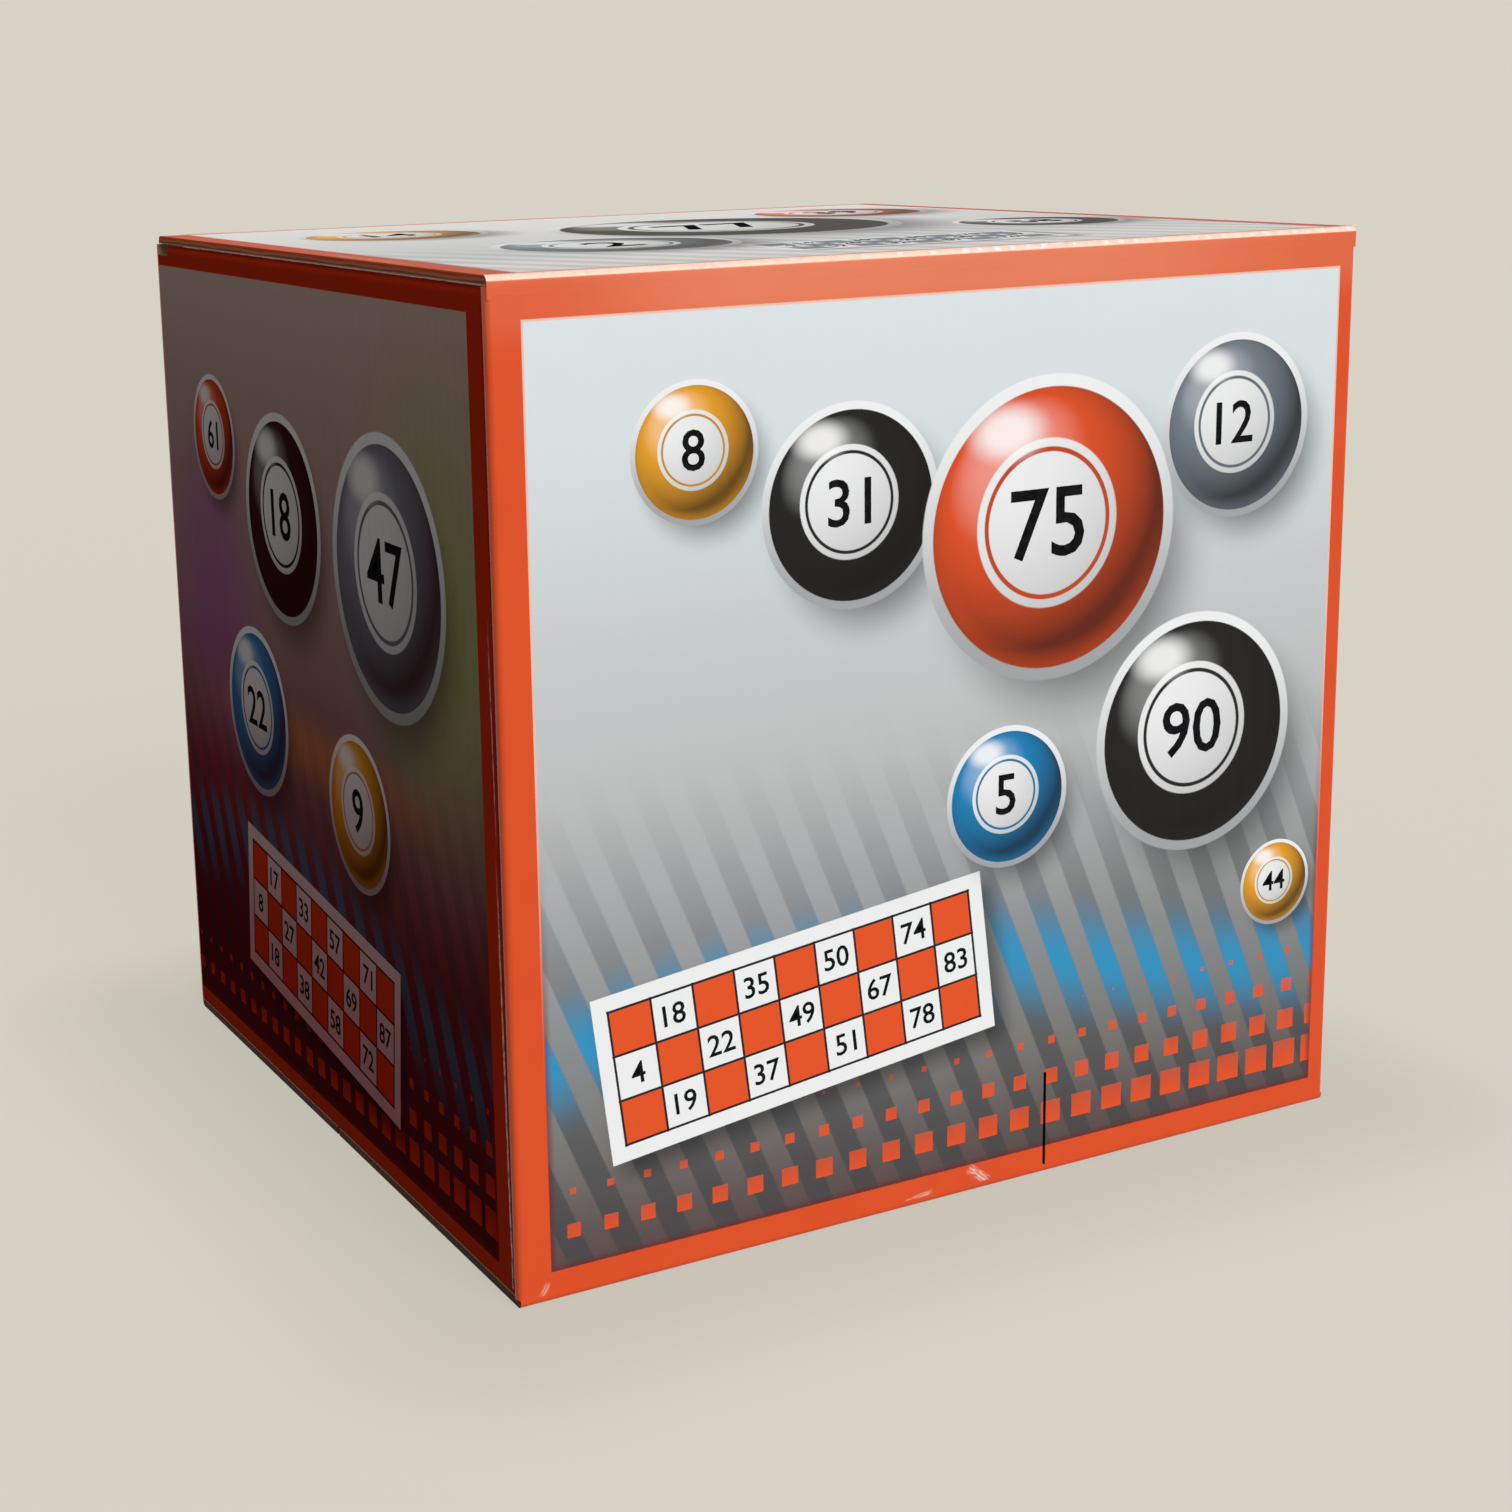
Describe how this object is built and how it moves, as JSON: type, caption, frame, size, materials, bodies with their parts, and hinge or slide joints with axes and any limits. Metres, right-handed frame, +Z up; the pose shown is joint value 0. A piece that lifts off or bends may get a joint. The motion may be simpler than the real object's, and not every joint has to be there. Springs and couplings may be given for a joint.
{
  "type": "boxed bingo game",
  "caption": "Printed tuck-top carton holding a hand-cranked wire ball cage on its stand, numbered balls, bingo cards and marker chips.",
  "frame": {"origin": "centre of the closed carton's underside", "axes": "+X to the right along the front face, +Y from the front face to the back, +Z up"},
  "size_m": [0.23, 0.218, 0.2234],
  "materials": {
    "printed_board": "gloss-laminated print over fluted board",
    "plain_board": "unprinted grey-brown board",
    "coated_wire": "black powder-coated steel wire",
    "plated_steel": "zinc-plated steel",
    "dark_steel": "blackened steel",
    "black_plastic": "moulded black plastic",
    "ball_plastic": "white moulded plastic",
    "card_stock": "printed card",
    "band_paper": "plain paper",
    "chip_plastic": "pressed plastic",
    "bag_film": "clear film"
  },
  "bodies": {
    "carton": {"carton_front_panel": "printed_board", "carton_back_panel": "printed_board", "carton_left_panel": "printed_board", "carton_right_panel": "printed_board", "carton_glue_tab": "plain_board", "carton_base_front_flap": "printed_board", "carton_base_back_flap": "printed_board", "carton_base_left_flap": "plain_board", "carton_base_right_flap": "plain_board", "stand_base_frame": "coated_wire", "stand_front_legs": "coated_wire", "stand_rear_legs": "coated_wire", "stand_left_bush": "black_plastic", "stand_right_bush": "black_plastic", "track_rails": "coated_wire", "track_guard": "coated_wire", "track_front_cradle": "coated_wire", "track_rear_cradle": "coated_wire", "balls_in_cage": "ball_plastic", "balls_on_track": "ball_plastic", "bingo_cards": "card_stock", "card_band": "band_paper", "marker_chips": "chip_plastic", "chip_bag": "bag_film"},
    "lid": {"carton_lid": "printed_board"},
    "tuck_flap": {"carton_tuck_flap": "plain_board"},
    "left_dust_flap": {"carton_left_dust_flap": "plain_board"},
    "right_dust_flap": {"carton_right_dust_flap": "plain_board"},
    "cage": {"cage_ring_01": "coated_wire", "cage_ring_02": "coated_wire", "cage_ring_03": "coated_wire", "cage_ring_04": "coated_wire", "cage_ring_05": "coated_wire", "cage_ring_06": "coated_wire", "cage_ring_07": "coated_wire", "cage_ring_08": "coated_wire", "cage_ring_09": "coated_wire", "cage_ring_10": "coated_wire", "cage_ring_11": "coated_wire", "cage_ring_12": "coated_wire", "cage_rib_1": "coated_wire", "cage_rib_2": "coated_wire", "cage_rib_3": "coated_wire", "cage_rib_4": "coated_wire", "cage_rib_5": "coated_wire", "cage_rib_6": "coated_wire", "cage_left_hub": "plated_steel", "cage_right_hub": "plated_steel", "cage_set_screws": "dark_steel", "cage_axle": "plated_steel", "axle_cap": "black_plastic", "ball_selector": "black_plastic", "crank_washer": "plated_steel", "crank_arm": "plated_steel", "crank_nut": "plated_steel", "crank_pin": "plated_steel"},
    "grip": {"crank_grip": "black_plastic"}
  },
  "joints": [
    {"name": "lid_hinge", "type": "hinge", "parent": "carton", "child": "lid", "pos_m": [0, -0.109, 0.2234], "axis": [1, 0, 0], "range_deg": [0, 240]},
    {"name": "tuck_flap_hinge", "type": "hinge", "parent": "lid", "child": "tuck_flap", "pos_m": [0, 0.1045, 0.22125], "axis": [-1, 0, 0], "range_deg": [0, 35]},
    {"name": "left_dust_flap_hinge", "type": "hinge", "parent": "carton", "child": "left_dust_flap", "pos_m": [-0.115, 0, 0.2206], "axis": [0, -1, 0], "range_deg": [0, 120]},
    {"name": "right_dust_flap_hinge", "type": "hinge", "parent": "carton", "child": "right_dust_flap", "pos_m": [0.115, 0, 0.2206], "axis": [0, 1, 0], "range_deg": [0, 120]},
    {"name": "cage_spin", "type": "hinge", "parent": "carton", "child": "cage", "pos_m": [-0.021, -0.015, 0.124], "axis": [1, 0, 0], "continuous": true},
    {"name": "grip_spin", "type": "hinge", "parent": "cage", "child": "grip", "pos_m": [0.079, -0.015, 0.096], "axis": [1, 0, 0], "continuous": true}
  ],
  "couplings": [
    {"joint": "left_dust_flap_hinge", "follows": "lid_hinge", "ratio": 0.5},
    {"joint": "right_dust_flap_hinge", "follows": "lid_hinge", "ratio": 0.5}
  ]
}
